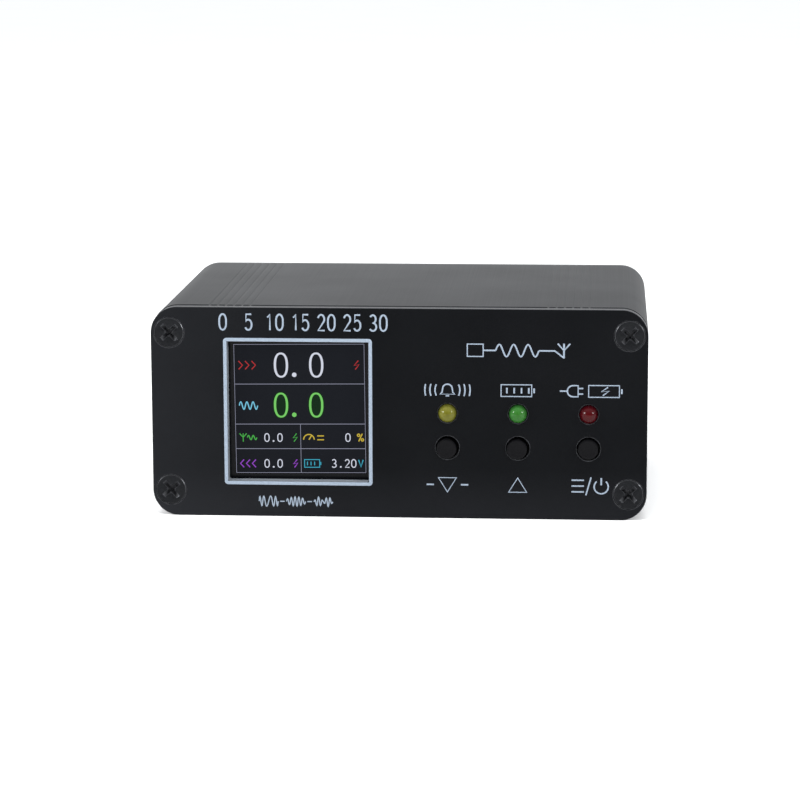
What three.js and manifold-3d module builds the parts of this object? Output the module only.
// A pocket SWR and power meter, with two coaxial sockets behind
// and a colour display, three lamps and three buttons in front.
// Millimetres, +Z up. The front looks towards -Y, +X is to the right of someone who reads the display,
// and the origin is at the middle of the underside.
import * as THREE from "three";
import { mergeVertices } from "three/addons/utils/BufferGeometryUtils.js";
import Module from "manifold-3d";

const wasm = await Module();
wasm.setup();

// Shared fits
const fitGap = 0.3; // between pieces that slide or drop into each other
const overrun = 1; // how far a cutter runs past the face that it cuts

// Case: two like extrusions, each half a tube, closed by a panel at each end
const caseWidth = 88;
const caseHeight = 37.8;
const bodyLength = 56;
const panelThickness = 2;
const cornerRadius = 4.7;
const sideWall = 2;
const floorWall = 1.6;

// Grooves in the case's top and underside, in two bands
const grooveCount = 6;
const groovePitch = 1.45;
const grooveWidth = 0.7;
const grooveDepth = 0.35;
const grooveBandInset = 14; // the band's middle from the case's side

// Corner screws, which cut their thread in the channels of the case halves
const cornerScrewSideInset = 3.26; // from the case's side
const cornerScrewTopInset = 4.71; // from its top and underside
const cornerScrewLength = 10;
const screwHeadDiameter = 5.4;
const screwHeadLand = 0.25;
const screwThreadDiameter = 2.9;
const screwTipDiameter = 1.8;
const screwTipLength = 0.9;
const screwHeadGap = 0.15; // round the head in its countersink
const channelWall = 1.15; // round each screw channel
const crossLength = 2.9;
const crossWidth = 0.75;
const crossDepth = 1.1;

// Seam of the halves, with a lip on one side of each
const lipThickness = 1;
const lipRise = 1.5;
const lipRoot = 2;

// Main board, in guide slots of the lower half
const mainBoardThickness = 1.6;
const mainBoardHeight = 10; // its underside above the case's underside
const guideThickness = 1.2;
const guideReach = 1.8;
const boardEdgeGap = 0.4;

// Front board, behind the panel
const frontBoardThickness = 1.6;
const frontBoardDepth = 6.4; // its front face behind the panel's front face
const frontBoardEdgeGap = 0.8;

// Display and its window
const windowSize = 25.1;
const windowShare = 0.20375; // of the case's width, to the left of its middle
const windowRise = 0.08; // its middle above mid-height
const windowCornerRadius = 0.3;
const displayGap = 0.3; // between the panel and the glass
const glassSideMargin = 0.55; // glass past the window's edge, also at the top
const glassFloorGap = 1.28; // under the glass
const glassThickness = 0.9;
const backlightThickness = 0.8;
const backlightInset = 0.3;
const flexWidth = 12;
const flexThickness = 0.2;
const flexDrop = 0.35;
const flexTail = 3.5;
const flexStartDepth = 0.5; // behind the glass's front
const padInset = 2;

// Lamps and buttons share three columns, spread by shares of the case's width
const middleColumnShare = 0.24057; // to the right of its middle
const columnPitchShare = 0.1417;
const lampRise = 0.13; // above mid-height
const lampToButton = 6.22; // from a lamp down to its button

const lampDiameter = 3;
const lampBodyLength = 3.8; // straight part and flange, without the dome
const lampFlangeDiameter = 3.8;
const lampFlangeThickness = 1;
const lampProud = 1.6; // dome in front of the panel
const lampHoleGap = 0.2;
const lampLegSize = 0.5;
const lampLegPitch = 2.54;

const stemDiameter = 3.5;
const stemProud = 0.6;
const stemHoleDiameter = 4.15;
const stemFlangeDiameter = 4.2;
const stemFlangeThickness = 0.6;
const stemChamfer = 0.25;
const switchSize = 6;
const switchHeight = 3.5;
const switchFloor = 0.8;
const switchCover = 0.3;
const switchWellDiameter = 5;
const stemRestGap = 0.15; // between the stem's flange and the cover
const domeDiameter = 4;
const domeRise = 0.5;
const domeThickness = 0.2;
const domeShoulderShare = 0.8; // of the dome's rise, half way out
const switchLegSize = 0.7;
const switchLegLength = 1; // past the switch's side
const switchLegThickness = 0.3;
const switchLegSpacing = 4.5;

// Coaxial sockets
const socketSpacingShare = 0.54545; // of the case's width
const socketFlangeSize = 25.4;
const socketFlangeThickness = 3;
const socketFlangeRadius = 2;
const socketThreadDiameter = 15.9;
const socketRootDiameter = 14.9;
const socketBarrelLength = 13.5;
const socketThreadPitch = 1.06;
const socketRelief = 1.1; // plain part between the flange and the thread
const socketMouthChamfer = 0.7;
const socketMouthDiameter = 12.4;
const socketMouthDepth = 5;
const socketNotchWidth = 2;
const socketNotchDepth = 1.1;
const socketNotchCount = 4;
const socketShoulderDepth = 11; // from the mouth to the narrower bore
const socketNarrowDiameter = 10.2;
const socketRearDiameter = 13;
const socketRearLength = 3; // behind the flange
const insulatorRearLength = 2; // past the shell's rear end
const contactDiameter = 5.6;
const contactBoreDiameter = 4;
const contactBoreDepth = 9;
const contactSlotWidth = 0.5;
const contactSlotDepth = 6;
const cupDiameter = 4.4;
const cupLength = 5;
const cupBoreDiameter = 2.8;
const cupBoreDepth = 3.6;
const flangeScrewSpacing = 18.2;
const flangeScrewHeadDiameter = 5;
const flangeScrewHeadHeight = 1.9;
const flangeScrewHeadChamfer = 0.5;
const flangeScrewShort = 0.1; // the screws end this far inside the rear panel's inner face

// Charging socket, on the main board's rear edge
const usbWidth = 8.94;
const usbHeight = 3.26;
const usbWall = 0.3;
const usbLength = 7.35;
const usbBackWall = 1;
const usbRecess = 0.3; // its mouth in front of the rear panel's outer face
const usbTongueWidth = 6.7;
const usbTongueThickness = 0.7;
const usbTongueLength = 4.45;

// Sensing core and line wire
const coreOuterDiameter = 12.7;
const coreInnerDiameter = 7.15;
const coreWidth = 4.9;
const coreY = 8.5;
const windingWireDiameter = 0.5;
const windingGap = 0.3;
const windingTurns = 12;
const windingStart = -130; // degrees from the core's top
const windingEnd = 130;
const windingSeatGap = 0.1;
const lineWireDiameter = 1.7;
const lineWireBend = 4;

// Parts on the main board
const headerPins = 8;
const headerPinSpacing = 2.54;
const headerDepth = 2.5;
const headerHeight = 2.5;
const headerPinSize = 0.64;
const headerPinLength = 2;
const chipSize = 7;
const chipHeight = 1.4;
const chipSeat = 0.1;
const chipLegsPerSide = 6;
const chipLegSpacing = 1;
const chipLegWidth = 0.35;
const chipLegLength = 1; // past the chip's side
const chipLegThickness = 0.15;
const chipOffset = 20; // to either side of the board's middle
const chipY = -8;
const chargerWidth = 4.9;
const chargerDepth = 3.9;
const chargerHeight = 1.5;
const chargerLegsPerSide = 4;
const chargerLegSpacing = 1.27;
const trimmerBase = 6;
const trimmerBaseHeight = 2;
const trimmerRotorDiameter = 5;
const trimmerRotorHeight = 1.2;
const trimmerSlotWidth = 0.8;
const trimmerSlotDepth = 0.6;

// Battery under the main board
const batteryEndGap = 10; // from the case's inside to the battery, and from it to its socket
const batteryWidth = 34;
const batteryTopGap = 1.6; // under the main board
const batteryRoundingShare = 0.4; // of its thickness
const batteryPadThickness = 0.8;
const batteryPadInset = 4;
const plugGap = 0.3;
const headerShroudLength = 6;
const headerShroudWidth = 6.4;
const headerShroudHeight = 5;
const headerShroudWall = 0.8;
const headerShroudInset = 14; // its mouth from the case's inside
const plugLength = 6;
const plugInsertion = 4.2;
const wireDiameter = 1.3;
const wireSpacing = 2;
const wireExitRise = 0.6; // of the wires' start above the battery's middle
const wireBow = 9; // how far the wires bow out along the battery's end
const redBendShare = 0.34; // where each wire bends, of the way to the plug, so that the two stay apart
const blackBendShare = 0.62;

// How finely round shapes are cut
const cornerSteps = 6;
const smallCornerSteps = 3;
const holeSegments = 16;
const screwSegments = 12;
const socketSegments = 20;
const lampSegments = 16;
const wireSides = 8;
const windingSides = 4;

// Places that follow
const middle = caseHeight / 2;
const frontFace = -bodyLength / 2 - panelThickness;
const frontInner = -bodyLength / 2;
const rearInner = bodyLength / 2;
const rearFace = rearInner + panelThickness;
const innerHalfWidth = caseWidth / 2 - sideWall;
const channelDiameter = screwThreadDiameter + 2 * fitGap;
const channelOuterRadius = channelDiameter / 2 + channelWall;
const mainBoardTop = mainBoardHeight + mainBoardThickness;
const frontBoardFront = frontFace + frontBoardDepth;
const frontBoardBack = frontBoardFront + frontBoardThickness;
const cornerScrewX = caseWidth / 2 - cornerScrewSideInset;
const cornerScrewRise = middle - cornerScrewTopInset; // from mid-height
const windowX = -windowShare * caseWidth;
const windowZ = middle + windowRise;
const columns = [-1, 0, 1].map((step) => (middleColumnShare + step * columnPitchShare) * caseWidth);
const lampHeight = middle + lampRise;
const buttonHeight = lampHeight - lampToButton;
const socketSpacing = socketSpacingShare * caseWidth;

// Finishes
function finish(color, roughness, metalness) {
  return new THREE.MeshStandardMaterial({ color, roughness, metalness });
}

const blackAnodised = finish(0x1b1c1f, 0.42, 0.6);
const blackSteel = finish(0x141416, 0.35, 0.7);
const nickel = finish(0xc9c7c0, 0.28, 1);
const silverContact = finish(0xd8d4c8, 0.3, 1);
const copper = finish(0xb5652f, 0.35, 1);
const tinned = finish(0xc4c6c8, 0.4, 1);
const boardGreen = finish(0x14502c, 0.5, 0);
const blackPlastic = finish(0x161616, 0.55, 0);
const creamPlastic = finish(0xe8e0cc, 0.5, 0);
const whiteFoam = finish(0xdedede, 0.9, 0);
const displayBlack = finish(0x05060a, 0.1, 0);
const backlightWhite = finish(0xe6e9ee, 0.6, 0);
const flexAmber = finish(0xb9761f, 0.4, 0);
const insulatorWhite = finish(0xece8df, 0.45, 0);
const ferriteGrey = finish(0x35353a, 0.7, 0);
const batterySilver = finish(0xb9bcc2, 0.35, 0.8);
const redWire = finish(0xb01318, 0.5, 0);
const blackWire = finish(0x101010, 0.5, 0);
const yellowLamp = finish(0xb3a51c, 0.2, 0);
const greenLamp = finish(0x1f8f2d, 0.2, 0);
const redLamp = finish(0x8f1414, 0.2, 0);

// Geometry to solid and back

function solidOf(geometry) {
  const bare = geometry.index ? geometry.toNonIndexed() : geometry.clone();
  bare.deleteAttribute("normal");
  bare.deleteAttribute("uv");
  const merged = mergeVertices(bare);
  const mesh = new wasm.Mesh({
    numProp: 3,
    vertProperties: merged.attributes.position.array,
    triVerts: new Uint32Array(merged.index.array),
  });
  return new wasm.Manifold(mesh);
}

function geometryOf(solid) {
  const { vertProperties, triVerts } = solid.getMesh();
  const geometry = new THREE.BufferGeometry();
  geometry.setAttribute("position", new THREE.BufferAttribute(vertProperties, 3));
  geometry.setIndex(new THREE.BufferAttribute(triVerts, 1));
  const faceted = geometry.toNonIndexed();
  faceted.computeVertexNormals();
  return faceted;
}

const joined = (solids) => solids.reduce((whole, next) => whole.add(next));

function named(name, solid, material) {
  const mesh = new THREE.Mesh(geometryOf(solid), material);
  mesh.name = name;
  return mesh;
}

// Basic solids, each placed by its own limits

function block([left, right], [front, back], [low, high]) {
  const geometry = new THREE.BoxGeometry(right - left, back - front, high - low);
  return solidOf(geometry.translate((left + right) / 2, (front + back) / 2, (low + high) / 2));
}

// A solid turned round the Y axis, from points of radius and depth that go from the front to the back.
function turned(points, segments) {
  const profile = points.map(([radius, depth]) => new THREE.Vector2(radius, depth));
  return solidOf(new THREE.LatheGeometry(profile, segments));
}

function roundedRectangle(width, height, radius) {
  const shape = new THREE.Shape();
  const right = width / 2 - radius;
  const top = height / 2 - radius;
  shape.absarc(right, top, radius, 0, Math.PI / 2);
  shape.absarc(-right, top, radius, Math.PI / 2, Math.PI);
  shape.absarc(-right, -top, radius, Math.PI, 1.5 * Math.PI);
  shape.absarc(right, -top, radius, 1.5 * Math.PI, 2 * Math.PI);
  return shape;
}

// An outline in X and Z, drawn out along Y from front to back.
function slab(shape, front, back, curveSegments = smallCornerSteps) {
  const depth = back - front;
  const geometry = new THREE.ExtrudeGeometry(shape, { depth, bevelEnabled: false, curveSegments });
  return solidOf(geometry.rotateX(Math.PI / 2).translate(0, back, 0));
}

// An outline in Y and Z, drawn out along X, centred on x = 0.
function strip(points, width) {
  const shape = new THREE.Shape(points.map(([depth, height]) => new THREE.Vector2(depth, height)));
  const geometry = new THREE.ExtrudeGeometry(shape, { depth: width, bevelEnabled: false });
  return solidOf(geometry.rotateY(Math.PI / 2).rotateX(Math.PI / 2).translate(-width / 2, 0, 0));
}

function hole(diameter, front, back, segments = holeSegments) {
  const radius = diameter / 2;
  return turned([[0, front], [radius, front], [radius, back], [0, back]], segments);
}

const corners = [
  ["top_left", -1, 1],
  ["top_right", 1, 1],
  ["bottom_left", -1, -1],
  ["bottom_right", 1, -1],
];

// Case halves: the lower one is made, and the upper one is the same extrusion turned over

function grooves() {
  const cutters = [];
  for (const side of [-1, 1]) {
    for (let i = 0; i < grooveCount; i += 1) {
      const x = side * (caseWidth / 2 - grooveBandInset) + (i - (grooveCount - 1) / 2) * groovePitch;
      cutters.push(block(
        [x - grooveWidth / 2, x + grooveWidth / 2],
        [frontInner - overrun, rearInner + overrun],
        [-overrun, grooveDepth],
      ));
    }
  }
  return joined(cutters);
}

function guideRibs() {
  const ribs = [];
  const depth = [frontInner, rearInner];
  const levels = [
    [mainBoardHeight - guideThickness, mainBoardHeight],
    [mainBoardTop + fitGap, mainBoardTop + fitGap + guideThickness],
  ];
  for (const level of levels) {
    ribs.push(block([-innerHalfWidth - sideWall / 2, -innerHalfWidth + guideReach], depth, level));
    ribs.push(block([innerHalfWidth - guideReach, innerHalfWidth + sideWall / 2], depth, level));
  }
  return joined(ribs);
}

function seamLip() {
  const depth = [frontInner, rearInner];
  const outer = innerHalfWidth - fitGap;
  const inner = outer - lipThickness;
  const root = block([inner, innerHalfWidth + sideWall / 2], depth, [middle - lipRoot, middle]);
  const lip = block([inner, outer], depth, [middle - lipRoot / 2, middle + lipRise]);
  return root.add(lip);
}

function caseHalf() {
  const outline = roundedRectangle(caseWidth, caseHeight, cornerRadius);
  const outside = slab(outline, frontInner, rearInner, cornerSteps).translate(0, 0, middle);
  const insideRadius = Math.max(cornerRadius - sideWall, cornerRadius / 4);
  const inside = slab(
    roundedRectangle(caseWidth - 2 * sideWall, caseHeight - 2 * floorWall, insideRadius),
    frontInner - overrun,
    rearInner + overrun,
  ).translate(0, 0, middle);
  const upperHalf = block(
    [-caseWidth, caseWidth],
    [frontInner - overrun, rearInner + overrun],
    [middle, caseHeight + overrun],
  );
  const channels = [-1, 1].map((side) => {
    const whole = hole(2 * channelOuterRadius, frontInner, rearInner);
    return whole.translate(side * cornerScrewX, 0, middle - cornerScrewRise).intersect(outside);
  });
  const threads = [-1, 1].map((side) =>
    hole(channelDiameter, frontInner - overrun, rearInner + overrun, screwSegments)
      .translate(side * cornerScrewX, 0, middle - cornerScrewRise));
  return joined([outside.subtract(inside).subtract(upperHalf), ...channels, guideRibs()])
    .subtract(joined(threads))
    .subtract(grooves())
    .add(seamLip());
}

// Panels

// Cuts a corner screw's hole and countersink, from a face at y = 0 towards +Y.
function countersink() {
  const wide = screwHeadDiameter / 2 + screwHeadGap;
  const narrow = channelDiameter / 2;
  const cone = screwHeadLand + wide - narrow;
  return turned(
    [[0, -overrun], [wide, -overrun], [wide, screwHeadLand], [narrow, cone],
      [narrow, panelThickness + overrun], [0, panelThickness + overrun]],
    screwSegments,
  );
}

function panelBlank() {
  const shape = roundedRectangle(caseWidth, caseHeight, cornerRadius);
  const plate = slab(shape, 0, panelThickness, cornerSteps).translate(0, 0, middle);
  const screwHoles = corners.map(([, x, z]) =>
    countersink().translate(x * cornerScrewX, 0, middle + z * cornerScrewRise));
  return plate.subtract(joined(screwHoles));
}

function frontPanel() {
  const displayWindow = slab(
    roundedRectangle(windowSize, windowSize, windowCornerRadius),
    -overrun,
    panelThickness + overrun,
  ).translate(windowX, 0, windowZ);
  const lampHole = hole(lampDiameter + 2 * lampHoleGap, -overrun, panelThickness + overrun, lampSegments);
  const stemHole = hole(stemHoleDiameter, -overrun, panelThickness + overrun);
  const holes = columns.flatMap((x) => [
    lampHole.translate(x, 0, lampHeight),
    stemHole.translate(x, 0, buttonHeight),
  ]);
  return panelBlank().subtract(joined([displayWindow, ...holes]));
}

// Made like the front panel, facing -Y, and turned round when it is placed.
function rearPanel() {
  const rearHole = hole(socketRearDiameter + 2 * fitGap, -overrun, panelThickness + overrun, socketSegments);
  const screwHole = hole(channelDiameter, -overrun, panelThickness + overrun, screwSegments);
  const holes = [-1, 1].flatMap((side) => {
    const x = (side * socketSpacing) / 2;
    return [
      rearHole.translate(x, 0, middle),
      ...corners.map(([, cx, cz]) =>
        screwHole.translate(x + (cx * flangeScrewSpacing) / 2, 0, middle + (cz * flangeScrewSpacing) / 2)),
    ];
  });
  const usbSlot = slab(
    roundedRectangle(usbWidth + 2 * fitGap, usbHeight + 2 * fitGap, usbHeight / 2 + fitGap),
    -overrun,
    panelThickness + overrun,
  ).translate(0, 0, mainBoardTop + usbHeight / 2);
  return panelBlank().subtract(joined([...holes, usbSlot]));
}

// Screws, each with its head's face at y = 0 and its tip towards +Y

function crossRecess() {
  const arm = [-crossLength / 2, crossLength / 2];
  const across = [-crossWidth / 2, crossWidth / 2];
  const depth = [-overrun, crossDepth];
  return block(arm, depth, across).add(block(across, depth, arm));
}

function cornerScrew() {
  const head = screwHeadDiameter / 2;
  const thread = screwThreadDiameter / 2;
  const shape = turned(
    [[0, 0], [head, 0], [head, screwHeadLand], [thread, screwHeadLand + head - thread],
      [thread, cornerScrewLength - screwTipLength], [screwTipDiameter / 2, cornerScrewLength],
      [0, cornerScrewLength]],
    screwSegments,
  );
  return shape.subtract(crossRecess());
}

function flangeScrew() {
  const head = flangeScrewHeadDiameter / 2;
  const thread = screwThreadDiameter / 2;
  const end = flangeScrewHeadHeight + socketFlangeThickness + panelThickness - flangeScrewShort;
  const shape = turned(
    [[0, 0], [head - flangeScrewHeadChamfer, 0], [head, flangeScrewHeadChamfer],
      [head, flangeScrewHeadHeight], [thread, flangeScrewHeadHeight], [thread, end], [0, end]],
    screwSegments,
  );
  return shape.subtract(crossRecess());
}

// Display

function displayLimits(inset) {
  const half = windowSize / 2 + glassSideMargin - inset;
  return {
    sides: [windowX - half, windowX + half],
    levels: [floorWall + glassFloorGap + inset, windowZ + half],
  };
}

const glassFront = frontInner + displayGap;
const glassBack = glassFront + glassThickness;
const backlightBack = glassBack + backlightThickness;
const glassBottom = displayLimits(0).levels[0];

function displayFlex() {
  const half = flexThickness / 2;
  const start = glassFront + flexStartDepth;
  const end = frontBoardFront - half;
  const low = glassBottom - flexDrop;
  const tail = glassBottom + flexTail;
  return strip(
    [[start - half, glassBottom], [start - half, low], [start + half, low - half], [end - half, low - half],
      [end + half, low], [end + half, tail], [end - half, tail], [end - half, low + flexThickness],
      [end - flexThickness, low + half], [start + flexThickness, low + half],
      [start + half, low + flexThickness], [start + half, glassBottom]],
    flexWidth,
  ).translate(windowX, 0, 0);
}

function displayPad() {
  const { sides: [left, right], levels: [, top] } = displayLimits(padInset);
  return block([left, right], [backlightBack, frontBoardFront], [glassBottom + flexTail + padInset / 2, top]);
}

// Lamps, each round its own axis with its dome's tip at y = 0

function lamp() {
  const radius = lampDiameter / 2;
  const flange = lampFlangeDiameter / 2;
  const base = radius + lampBodyLength;
  const dome = [];
  const domeSteps = 5;
  for (let i = 0; i <= domeSteps; i += 1) {
    const angle = (i / domeSteps) * (Math.PI / 2);
    dome.push([radius * Math.sin(angle), radius * (1 - Math.cos(angle))]);
  }
  const flangeStart = base - lampFlangeThickness;
  const rest = [[radius, flangeStart], [flange, flangeStart], [flange, base], [0, base]];
  const lens = turned([...dome, ...rest], lampSegments);
  const legEnd = frontBoardFront - (frontFace - lampProud);
  const legs = [-1, 1].map((side) => {
    const x = (side * lampLegPitch) / 2;
    return block(
      [x - lampLegSize / 2, x + lampLegSize / 2],
      [base - lampFlangeThickness / 2, legEnd],
      [-lampLegSize / 2, lampLegSize / 2],
    );
  });
  return joined([lens, ...legs]);
}

// Push switches, each round its own axis with y = 0 on the board's front face and the stem towards -Y

function switchBody() {
  const cover = -switchHeight;
  const half = [-switchSize / 2, switchSize / 2];
  const well = hole(switchWellDiameter, cover + switchCover, -switchFloor);
  const mouth = hole(stemDiameter + 2 * fitGap, cover - overrun, -switchFloor);
  const legs = corners.map(([, x, z]) => {
    const inner = (x * switchSize) / 2 - (x * switchLegLength) / 2;
    const outer = (x * switchSize) / 2 + x * switchLegLength;
    const height = (z * switchLegSpacing) / 2;
    return block(
      [Math.min(inner, outer), Math.max(inner, outer)],
      [-switchLegThickness, 0],
      [height - switchLegSize / 2, height + switchLegSize / 2],
    );
  });
  return joined([block(half, [cover, 0], half), ...legs]).subtract(well).subtract(mouth);
}

const flangeFront = -switchHeight + switchCover + stemRestGap;

function buttonStem() {
  const tip = frontFace - stemProud - frontBoardFront;
  const radius = stemDiameter / 2;
  const flange = stemFlangeDiameter / 2;
  return turned(
    [[0, tip], [radius - stemChamfer, tip], [radius, tip + stemChamfer], [radius, flangeFront],
      [flange, flangeFront], [flange, flangeFront + stemFlangeThickness],
      [0, flangeFront + stemFlangeThickness]],
    holeSegments,
  );
}

function switchDome() {
  const radius = domeDiameter / 2;
  const seat = -switchFloor;
  const crown = seat - domeRise;
  const shoulderDepth = seat - domeShoulderShare * domeRise;
  return turned(
    [[0, crown], [radius / 2, shoulderDepth], [radius, seat - domeThickness],
      [radius, seat], [radius - domeThickness, seat],
      [radius / 2, shoulderDepth + domeThickness], [0, crown + domeThickness]],
    screwSegments,
  );
}

// Coaxial sockets, each round its own axis: y = 0 is the rear panel's outer face, and the mouth is towards +Y

const socketMouth = socketFlangeThickness + socketBarrelLength;
const insulatorFace = socketMouth - socketMouthDepth;
const shoulder = socketMouth - socketShoulderDepth;

function socketShell() {
  const major = socketThreadDiameter / 2;
  const minor = socketRootDiameter / 2;
  const rear = socketRearDiameter / 2;
  const inFlange = socketFlangeThickness / 2;
  const profile = [[0, -socketRearLength], [rear, -socketRearLength], [rear, inFlange], [minor, inFlange]];
  const threadStart = socketFlangeThickness + socketRelief;
  const threadEnd = socketMouth - socketMouthChamfer;
  const turns = Math.floor((threadEnd - threadStart) / socketThreadPitch);
  for (let i = 0; i < turns; i += 1) {
    const start = threadEnd - (turns - i) * socketThreadPitch;
    profile.push([minor, start], [major, start + socketThreadPitch / 2]);
  }
  profile.push([minor, threadEnd], [minor - socketMouthChamfer / 2, socketMouth], [0, socketMouth]);
  const flange = slab(
    roundedRectangle(socketFlangeSize, socketFlangeSize, socketFlangeRadius),
    0,
    socketFlangeThickness,
  );
  const wide = hole(socketMouthDiameter, shoulder, socketMouth + overrun, socketSegments);
  const narrow = hole(socketNarrowDiameter, -socketRearLength - overrun, socketMouth, socketSegments);
  const screwHole = hole(channelDiameter, -overrun, socketFlangeThickness + overrun, screwSegments);
  const screwHoles = corners.map(([, x, z]) =>
    screwHole.translate((x * flangeScrewSpacing) / 2, 0, (z * flangeScrewSpacing) / 2));
  const notches = [];
  for (let i = 0; i < socketNotchCount / 2; i += 1) {
    const notch = block(
      [-socketThreadDiameter, socketThreadDiameter],
      [socketMouth - socketNotchDepth, socketMouth + overrun],
      [-socketNotchWidth / 2, socketNotchWidth / 2],
    );
    notches.push(notch.rotate([0, (i / socketNotchCount) * 360, 0]));
  }
  const cuts = joined([wide, narrow, ...screwHoles, ...notches]);
  return turned(profile, socketSegments).add(flange).subtract(cuts);
}

function socketInsulator() {
  const front = socketMouthDiameter / 2 - fitGap;
  const rear = socketNarrowDiameter / 2 - fitGap;
  const rearEnd = -socketRearLength - insulatorRearLength;
  const bore = contactDiameter / 2 + fitGap;
  return turned(
    [[bore, rearEnd], [rear, rearEnd], [rear, shoulder + fitGap], [front, shoulder + fitGap],
      [front, insulatorFace], [bore, insulatorFace], [bore, rearEnd]],
    socketSegments,
  );
}

const cupEnd = -socketRearLength - insulatorRearLength - cupLength;

function socketContact() {
  const sleeve = contactDiameter / 2;
  const cup = cupDiameter / 2;
  const step = cupEnd + cupLength;
  const body = turned(
    [[0, cupEnd], [cup, cupEnd], [cup, step], [sleeve, step], [sleeve, insulatorFace], [0, insulatorFace]],
    holeSegments,
  );
  const bore = hole(contactBoreDiameter, insulatorFace - contactBoreDepth, insulatorFace + overrun);
  const cupBore = hole(cupBoreDiameter, cupEnd - overrun, cupEnd + cupBoreDepth, screwSegments);
  const slot = block(
    [-contactDiameter, contactDiameter],
    [insulatorFace - contactSlotDepth, insulatorFace + overrun],
    [-contactSlotWidth / 2, contactSlotWidth / 2],
  );
  return body.subtract(joined([bore, cupBore, slot, slot.rotate([0, 90, 0])]));
}

// Charging socket, centred on x = 0, with z = 0 on the main board and the mouth towards +Y

const usbMouth = rearFace - usbRecess;
const usbCavityEnd = usbMouth - usbLength + usbBackWall;

function usbShell() {
  const outer = roundedRectangle(usbWidth, usbHeight, usbHeight / 2);
  const innerHeight = usbHeight - 2 * usbWall;
  const inner = roundedRectangle(usbWidth - 2 * usbWall, innerHeight, innerHeight / 2);
  return slab(outer, usbMouth - usbLength, usbMouth)
    .subtract(slab(inner, usbCavityEnd, usbMouth + overrun))
    .translate(0, 0, usbHeight / 2);
}

function usbTongue() {
  const half = usbTongueThickness / 2;
  return block(
    [-usbTongueWidth / 2, usbTongueWidth / 2],
    [usbCavityEnd, usbCavityEnd + usbTongueLength],
    [usbHeight / 2 - half, usbHeight / 2 + half],
  );
}

// Sensing core, its winding and the line wire

const windingOuter = coreOuterDiameter / 2 + windingGap + windingWireDiameter;
const coreZ = mainBoardTop + windingSeatGap + windingOuter;

// A ring that stands on the board with its axis along X, centred on its own middle.
function sensingCore() {
  const outer = coreOuterDiameter / 2;
  const inner = coreInnerDiameter / 2;
  const half = coreWidth / 2;
  const chamfer = coreWidth / 10;
  const ring = turned(
    [[inner, -half], [outer - chamfer, -half], [outer, chamfer - half], [outer, half - chamfer],
      [outer - chamfer, half], [inner, half], [inner, -half]],
    socketSegments,
  );
  return ring.rotate([0, 0, 90]);
}

// The winding's path goes round the core's section while it travels along the ring.
function windingPoints() {
  const radial = (coreOuterDiameter - coreInnerDiameter) / 4;
  const axial = coreWidth / 2;
  const away = windingGap + windingWireDiameter / 2;
  const meanRadius = (coreOuterDiameter + coreInnerDiameter) / 4;
  const section = [
    [radial, axial + away], [radial + away, axial], [radial + away, -axial], [radial, -axial - away],
    [-radial, -axial - away], [-radial - away, -axial], [-radial - away, axial], [-radial, axial + away],
  ];
  const count = windingTurns * section.length;
  const points = [];
  for (let i = 0; i <= count; i += 1) {
    const [out, along] = section[i % section.length];
    const turn = THREE.MathUtils.degToRad(windingStart + ((windingEnd - windingStart) * i) / count);
    const radius = meanRadius + out;
    points.push(new THREE.Vector3(along, radius * Math.sin(turn), radius * Math.cos(turn)));
  }
  return points;
}

// A closed tube through points, one ring of corners at each.
function wireThrough(points, diameter, sides) {
  const radius = diameter / 2;
  const positions = [];
  const indices = [];
  let side = null;
  points.forEach((point, i) => {
    const before = points[Math.max(i - 1, 0)];
    const after = points[Math.min(i + 1, points.length - 1)];
    const ahead = after.clone().sub(before).normalize();
    if (!side) side = new THREE.Vector3(ahead.y, -ahead.x, ahead.z).cross(ahead).normalize();
    side.sub(ahead.clone().multiplyScalar(side.dot(ahead))).normalize();
    const up = ahead.clone().cross(side);
    for (let k = 0; k < sides; k += 1) {
      const angle = (k / sides) * 2 * Math.PI;
      const corner = point.clone()
        .addScaledVector(side, radius * Math.cos(angle))
        .addScaledVector(up, radius * Math.sin(angle));
      positions.push(corner.x, corner.y, corner.z);
    }
  });
  for (let ring = 0; ring < points.length - 1; ring += 1) {
    for (let k = 0; k < sides; k += 1) {
      const a = ring * sides + k;
      const b = ring * sides + ((k + 1) % sides);
      indices.push(a, b, b + sides, a, b + sides, a + sides);
    }
  }
  const last = (points.length - 1) * sides;
  for (let k = 1; k < sides - 1; k += 1) {
    indices.push(0, k + 1, k);
    indices.push(last, last + k, last + k + 1);
  }
  const geometry = new THREE.BufferGeometry();
  geometry.setAttribute("position", new THREE.Float32BufferAttribute(positions, 3));
  geometry.setIndex(indices);
  return solidOf(geometry);
}

// A round wire drawn along a smooth curve.
function wireAlong(curve, diameter, steps) {
  const section = new THREE.Shape();
  section.absarc(0, 0, diameter / 2, 0, 2 * Math.PI);
  const curveSegments = wireSides / 2; // for each half of the circle
  return solidOf(new THREE.ExtrudeGeometry(section, { extrudePath: curve, steps, curveSegments }));
}

function lineWire() {
  const far = socketSpacing / 2;
  const inCup = rearFace + cupEnd + cupBoreDepth - fitGap;
  const outOfCup = rearFace + cupEnd - lineWireDiameter;
  const straight = coreWidth / 2 + windingGap + windingWireDiameter + lineWireDiameter;
  const path = [
    [-far, inCup, middle], [-far, outOfCup, middle], [-far, Math.max(outOfCup - lineWireBend, coreY), middle],
    [-far + lineWireBend, coreY, coreZ], [-straight, coreY, coreZ],
  ];
  const mirrored = path.map(([x, y, z]) => [-x, y, z]).reverse();
  const points = [...path, ...mirrored].map((place) => new THREE.Vector3(...place));
  return wireAlong(new THREE.CatmullRomCurve3(points, false, "centripetal"), lineWireDiameter, 28);
}

// Parts on the main board, each with z = 0 on the board's top

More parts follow.
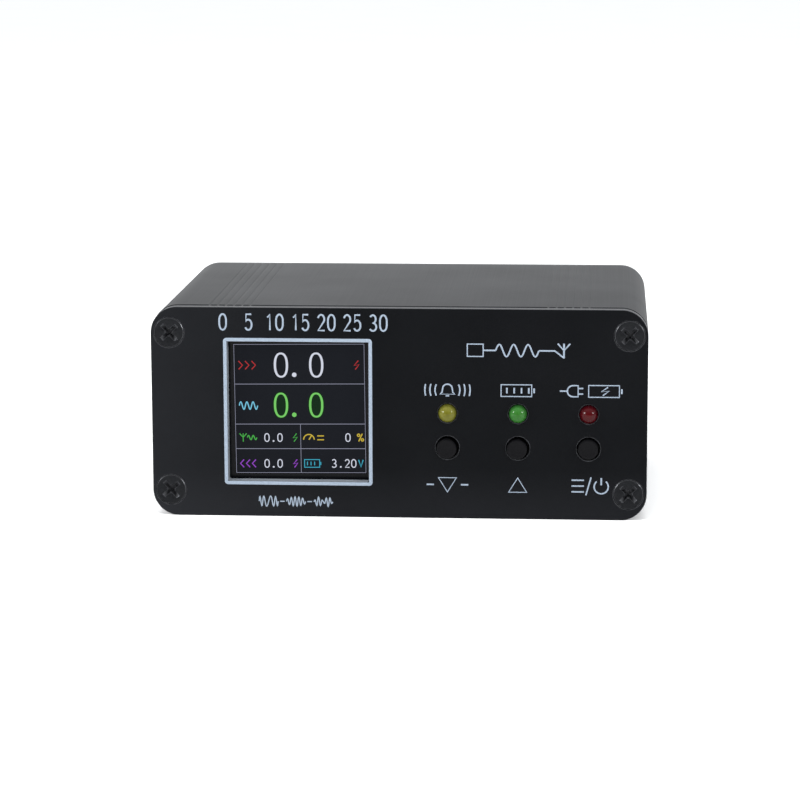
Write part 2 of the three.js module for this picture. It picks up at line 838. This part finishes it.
function boardHeader() {
  const width = headerPins * headerPinSpacing;
  const back = frontBoardBack + headerDepth;
  const body = block([-width / 2, width / 2], [frontBoardBack, back], [0, headerHeight]);
  const half = headerPinSize / 2;
  const pins = [];
  for (let i = 0; i < headerPins; i += 1) {
    const x = (i - (headerPins - 1) / 2) * headerPinSpacing;
    const sides = [x - half, x + half];
    const level = headerHeight / 2;
    pins.push(block(sides, [back - half, back + headerPinLength], [level - half, level + half]));
    pins.push(block(sides, [back + headerPinLength - headerPinSize, back + headerPinLength], [0, level]));
  }
  return joined([body, ...pins]);
}

// A chip body on flat legs: the legs stand in rows along the sides that are named.
function chip(width, depth, height, legs, pitch, rows) {
  const body = block([-width / 2, width / 2], [-depth / 2, depth / 2], [chipSeat, height]);
  const solids = [body];
  for (const [acrossX, side] of rows) {
    const edge = acrossX ? width / 2 : depth / 2;
    const near = edge - chipLegLength;
    const far = edge + chipLegLength;
    const reach = side > 0 ? [near, far] : [-far, -near];
    for (let i = 0; i < legs; i += 1) {
      const along = (i - (legs - 1) / 2) * pitch;
      const run = [along - chipLegWidth / 2, along + chipLegWidth / 2];
      const level = [0, chipSeat + chipLegThickness];
      solids.push(acrossX ? block(reach, run, level) : block(run, reach, level));
    }
  }
  return joined(solids);
}

function microcontroller() {
  const rows = [[true, 1], [true, -1], [false, 1], [false, -1]];
  return chip(chipSize, chipSize, chipHeight, chipLegsPerSide, chipLegSpacing, rows);
}

function chargerChip() {
  const rows = [[false, 1], [false, -1]];
  return chip(chargerWidth, chargerDepth, chargerHeight, chargerLegsPerSide, chargerLegSpacing, rows);
}

// A flat ceramic base with a slotted rotor on it.
function trimmer() {
  const half = trimmerBase / 2;
  const top = trimmerBaseHeight + trimmerRotorHeight;
  const base = block([-half, half], [-half, half], [0, trimmerBaseHeight]);
  const rotor = hole(trimmerRotorDiameter, 0, top, screwSegments).rotate([90, 0, 0]);
  const slot = block(
    [-half, half],
    [-trimmerSlotWidth / 2, trimmerSlotWidth / 2],
    [top - trimmerSlotDepth, top + overrun],
  );
  return base.add(rotor).subtract(slot);
}

// Battery under the main board

const headerShroudX = innerHalfWidth - headerShroudInset;
const batteryLow = floorWall + batteryPadThickness;
const batteryThickness = mainBoardHeight - batteryTopGap - batteryLow;
const batteryStart = batteryEndGap - innerHalfWidth;
const batteryEnd = headerShroudX - batteryEndGap;
const batteryLength = batteryEnd - batteryStart;
const batteryX = (batteryStart + batteryEnd) / 2;

function battery() {
  const shape = roundedRectangle(batteryLength, batteryThickness, batteryRoundingShare * batteryThickness);
  const cell = slab(shape, -batteryWidth / 2, batteryWidth / 2);
  return cell.translate(batteryX, 0, batteryLow + batteryThickness / 2);
}

function batteryPad() {
  const half = [batteryLength / 2 - batteryPadInset, batteryWidth / 2 - batteryPadInset];
  return block([batteryX - half[0], batteryX + half[0]], [-half[1], half[1]], [floorWall, batteryLow]);
}

// The shroud hangs under the main board, with its mouth towards the battery.
const shroudLow = mainBoardHeight - headerShroudHeight;
const plugMiddle = mainBoardHeight - headerShroudHeight / 2;
const plugBack = headerShroudX + plugInsertion - plugLength;

function batteryHeader() {
  const half = headerShroudWidth / 2;
  const wall = headerShroudWall;
  const end = headerShroudX + headerShroudLength;
  const shroud = block([headerShroudX, end], [-half, half], [shroudLow, mainBoardHeight]);
  const cavity = block(
    [headerShroudX - overrun, end - wall],
    [wall - half, half - wall],
    [shroudLow + wall, mainBoardHeight - wall],
  );
  return shroud.subtract(cavity);
}

function batteryPlug() {
  const half = headerShroudWidth / 2 - headerShroudWall - plugGap;
  const low = shroudLow + headerShroudWall + plugGap;
  return block([plugBack, plugBack + plugLength], [-half, half], [low, 2 * plugMiddle - low]);
}

// A wire from the battery's end to the plug's back, bowed out along the end.
function batteryWire(side, bendShare) {
  const radius = wireDiameter / 2;
  const exitY = -wireBow + side * wireSpacing;
  const plugY = (side * wireSpacing) / 2;
  const exitZ = batteryLow + batteryThickness / 2 + wireExitRise;
  const bendX = batteryEnd + (plugBack - batteryEnd) * bendShare;
  const points = [
    [batteryEnd + fitGap, exitY, exitZ],
    [batteryEnd + fitGap + radius, exitY, exitZ],
    [bendX, exitY + wireDiameter, exitZ],
    [bendX, plugY - wireDiameter, plugMiddle],
    [plugBack - fitGap - radius, plugY, plugMiddle],
    [plugBack - fitGap, plugY, plugMiddle],
  ].map((place) => new THREE.Vector3(...place));
  return wireAlong(new THREE.CatmullRomCurve3(points, false, "centripetal"), wireDiameter, 12);
}

// The whole meter

const meter = new THREE.Group();

const enclosure = new THREE.Group();
meter.add(enclosure);

const half = caseHalf();
const lowerHalf = named("case_bottom", half, blackAnodised);
const upperHalf = named("case_top", half.rotate([0, 180, 0]).translate(0, 0, caseHeight), blackAnodised);
const front = named("front_panel", frontPanel(), blackAnodised);
front.position.y = frontFace;
const rear = named("rear_panel", rearPanel().rotate([0, 0, 180]), blackAnodised);
rear.position.y = rearFace;
enclosure.add(lowerHalf, upperHalf, front, rear);

for (const [corner, x, z] of corners) {
  const frontScrew = named(`front_screw_${corner}`, cornerScrew(), blackSteel);
  frontScrew.position.set(x * cornerScrewX, frontFace, middle + z * cornerScrewRise);
  const rearScrew = named(`rear_screw_${corner}`, cornerScrew().rotate([0, 0, 180]), blackSteel);
  rearScrew.position.set(x * cornerScrewX, rearFace, middle + z * cornerScrewRise);
  enclosure.add(frontScrew, rearScrew);
}

const frontUnit = new THREE.Group();
meter.add(frontUnit);

const glass = displayLimits(0);
const glassBlock = block(glass.sides, [glassFront, glassBack], glass.levels);
const backlight = displayLimits(backlightInset);
const backlightBlock = block(backlight.sides, [glassBack, backlightBack], backlight.levels);
const frontBoardHalf = cornerScrewX - channelOuterRadius - frontBoardEdgeGap;
frontUnit.add(
  named("display_glass", glassBlock, displayBlack),
  named("display_backlight", backlightBlock, backlightWhite),
  named("display_flex", displayFlex(), flexAmber),
  named("display_pad", displayPad(), whiteFoam),
  named("front_board", block(
    [-frontBoardHalf, frontBoardHalf],
    [frontBoardFront, frontBoardBack],
    [floorWall + frontBoardEdgeGap, caseHeight - floorWall - frontBoardEdgeGap],
  ), boardGreen),
);

const lampKinds = [["alert", yellowLamp], ["full", greenLamp], ["charge", redLamp]];
lampKinds.forEach(([kind, material], i) => {
  const mesh = named(`${kind}_lamp`, lamp(), material);
  mesh.position.set(columns[i], frontFace - lampProud, lampHeight);
  frontUnit.add(mesh);
});

["down", "up", "power"].forEach((kind, i) => {
  const key = new THREE.Group();
  key.position.set(columns[i], frontBoardFront, buttonHeight);
  key.add(
    named(`${kind}_button`, buttonStem(), blackPlastic),
    named(`${kind}_switch_body`, switchBody(), blackPlastic),
    named(`${kind}_switch_dome`, switchDome(), tinned),
  );
  frontUnit.add(key);
});

const electronics = new THREE.Group();
meter.add(electronics);

const boardHalf = innerHalfWidth - boardEdgeGap;
const winding = wireThrough(windingPoints(), windingWireDiameter, windingSides);
electronics.add(
  named("main_board", block(
    [-boardHalf, boardHalf],
    [frontBoardBack + fitGap, rearInner - fitGap],
    [mainBoardHeight, mainBoardTop],
  ), boardGreen),
  named("sensing_core", sensingCore().translate(0, coreY, coreZ), ferriteGrey),
  named("sensing_winding", winding.translate(0, coreY, coreZ), copper),
  named("line_wire", lineWire(), tinned),
);

const onBoard = new THREE.Group();
onBoard.position.z = mainBoardTop;
electronics.add(onBoard);

const mcu = named("microcontroller", microcontroller(), blackPlastic);
mcu.position.set(-chipOffset, chipY, 0);
const charger = named("charger_chip", chargerChip(), blackPlastic);
charger.position.set(chipOffset, chipY, 0);
const trim = named("trimmer", trimmer(), creamPlastic);
trim.position.set(0, chipY, 0);
onBoard.add(
  named("board_header", boardHeader(), blackPlastic),
  mcu,
  charger,
  trim,
  named("usb_shell", usbShell(), nickel),
  named("usb_tongue", usbTongue(), blackPlastic),
);

for (const [kind, side] of [["antenna", -1], ["transmitter", 1]]) {
  const socket = new THREE.Group();
  socket.position.set((side * socketSpacing) / 2, rearFace, middle);
  socket.add(
    named(`${kind}_socket`, socketShell(), nickel),
    named(`${kind}_insulator`, socketInsulator(), insulatorWhite),
    named(`${kind}_contact`, socketContact(), silverContact),
  );
  for (const [corner, x, z] of corners) {
    const screw = named(`${kind}_screw_${corner}`, flangeScrew().rotate([0, 0, 180]), nickel);
    screw.position.set(
      (x * flangeScrewSpacing) / 2,
      socketFlangeThickness + flangeScrewHeadHeight,
      (z * flangeScrewSpacing) / 2,
    );
    socket.add(screw);
  }
  meter.add(socket);
}

const power = new THREE.Group();
meter.add(power);
power.add(
  named("battery", battery(), batterySilver),
  named("battery_pad", batteryPad(), whiteFoam),
  named("battery_header", batteryHeader(), creamPlastic),
  named("battery_plug", batteryPlug(), creamPlastic),
  named("battery_red_wire", batteryWire(1, redBendShare), redWire),
  named("battery_black_wire", batteryWire(-1, blackBendShare), blackWire),
);

export default meter;
